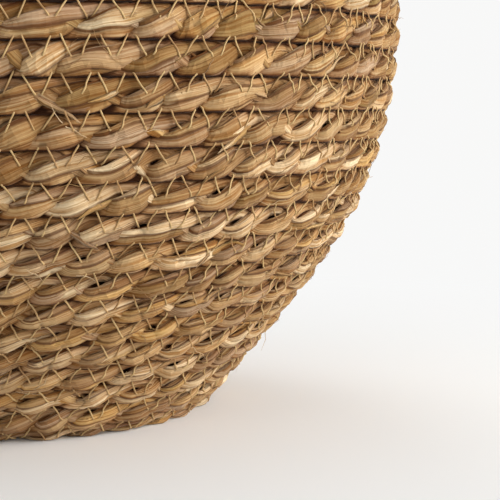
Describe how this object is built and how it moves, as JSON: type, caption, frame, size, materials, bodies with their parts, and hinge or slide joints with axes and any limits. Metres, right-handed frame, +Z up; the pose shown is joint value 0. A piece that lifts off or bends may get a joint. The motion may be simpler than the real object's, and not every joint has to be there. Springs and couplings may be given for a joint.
{
  "type": "belly basket",
  "caption": "Round-bellied storage basket of coiled, sewn braid, narrow at the foot and drawn in at the rim, with loop handles that fold.",
  "frame": {"origin": "on the floor under the middle of the basket", "axes": "+Z up, -Y the front of the basket, +X and -X the two handles"},
  "size_m": [0.4056, 0.4056, 0.473],
  "materials": {
    "seagrass_wall": "dry natural seagrass braid, matt with a faint sheen along the leaves, sewn with straw-coloured thread",
    "seagrass_base": "dry natural seagrass braid, matt, a little darker under the base",
    "seagrass_rim": "dry natural seagrass braid, matt with a faint sheen along the leaves",
    "seagrass_handle": "dry natural seagrass braid, matt, slightly polished where it is held"
  },
  "bodies": {
    "basket": {"base_coil": "seagrass_base", "wall_row_01": "seagrass_wall", "wall_row_02": "seagrass_wall", "wall_row_03": "seagrass_wall", "wall_row_04": "seagrass_wall", "wall_row_05": "seagrass_wall", "wall_row_06": "seagrass_wall", "wall_row_07": "seagrass_wall", "wall_row_08": "seagrass_wall", "wall_row_09": "seagrass_wall", "wall_row_10": "seagrass_wall", "wall_row_11": "seagrass_wall", "wall_row_12": "seagrass_wall", "wall_row_13": "seagrass_wall", "wall_row_14": "seagrass_wall", "wall_row_15": "seagrass_wall", "wall_row_16": "seagrass_wall", "wall_row_17": "seagrass_wall", "wall_row_18": "seagrass_wall", "wall_row_19": "seagrass_wall", "wall_row_20": "seagrass_wall", "wall_row_21": "seagrass_wall", "wall_row_22": "seagrass_wall", "wall_row_23": "seagrass_wall", "wall_row_24": "seagrass_wall", "wall_row_25": "seagrass_wall", "wall_row_26": "seagrass_wall", "rim_row": "seagrass_rim", "right_handle_front_foot": "seagrass_handle", "right_handle_back_foot": "seagrass_handle", "left_handle_front_foot": "seagrass_handle", "left_handle_back_foot": "seagrass_handle"},
    "right_handle": {"right_handle_loop": "seagrass_handle"},
    "left_handle": {"left_handle_loop": "seagrass_handle"}
  },
  "joints": [
    {"name": "right_handle_fold", "type": "hinge", "parent": "basket", "child": "right_handle", "pos_m": [0.14868, 0, 0.38546], "axis": [0, 1, 0], "range_deg": [-85, 85], "stiffness_Nm_per_rad": 0.15},
    {"name": "left_handle_fold", "type": "hinge", "parent": "basket", "child": "left_handle", "pos_m": [-0.14868, 0, 0.38546], "axis": [0, -1, 0], "range_deg": [-85, 85], "stiffness_Nm_per_rad": 0.15}
  ]
}
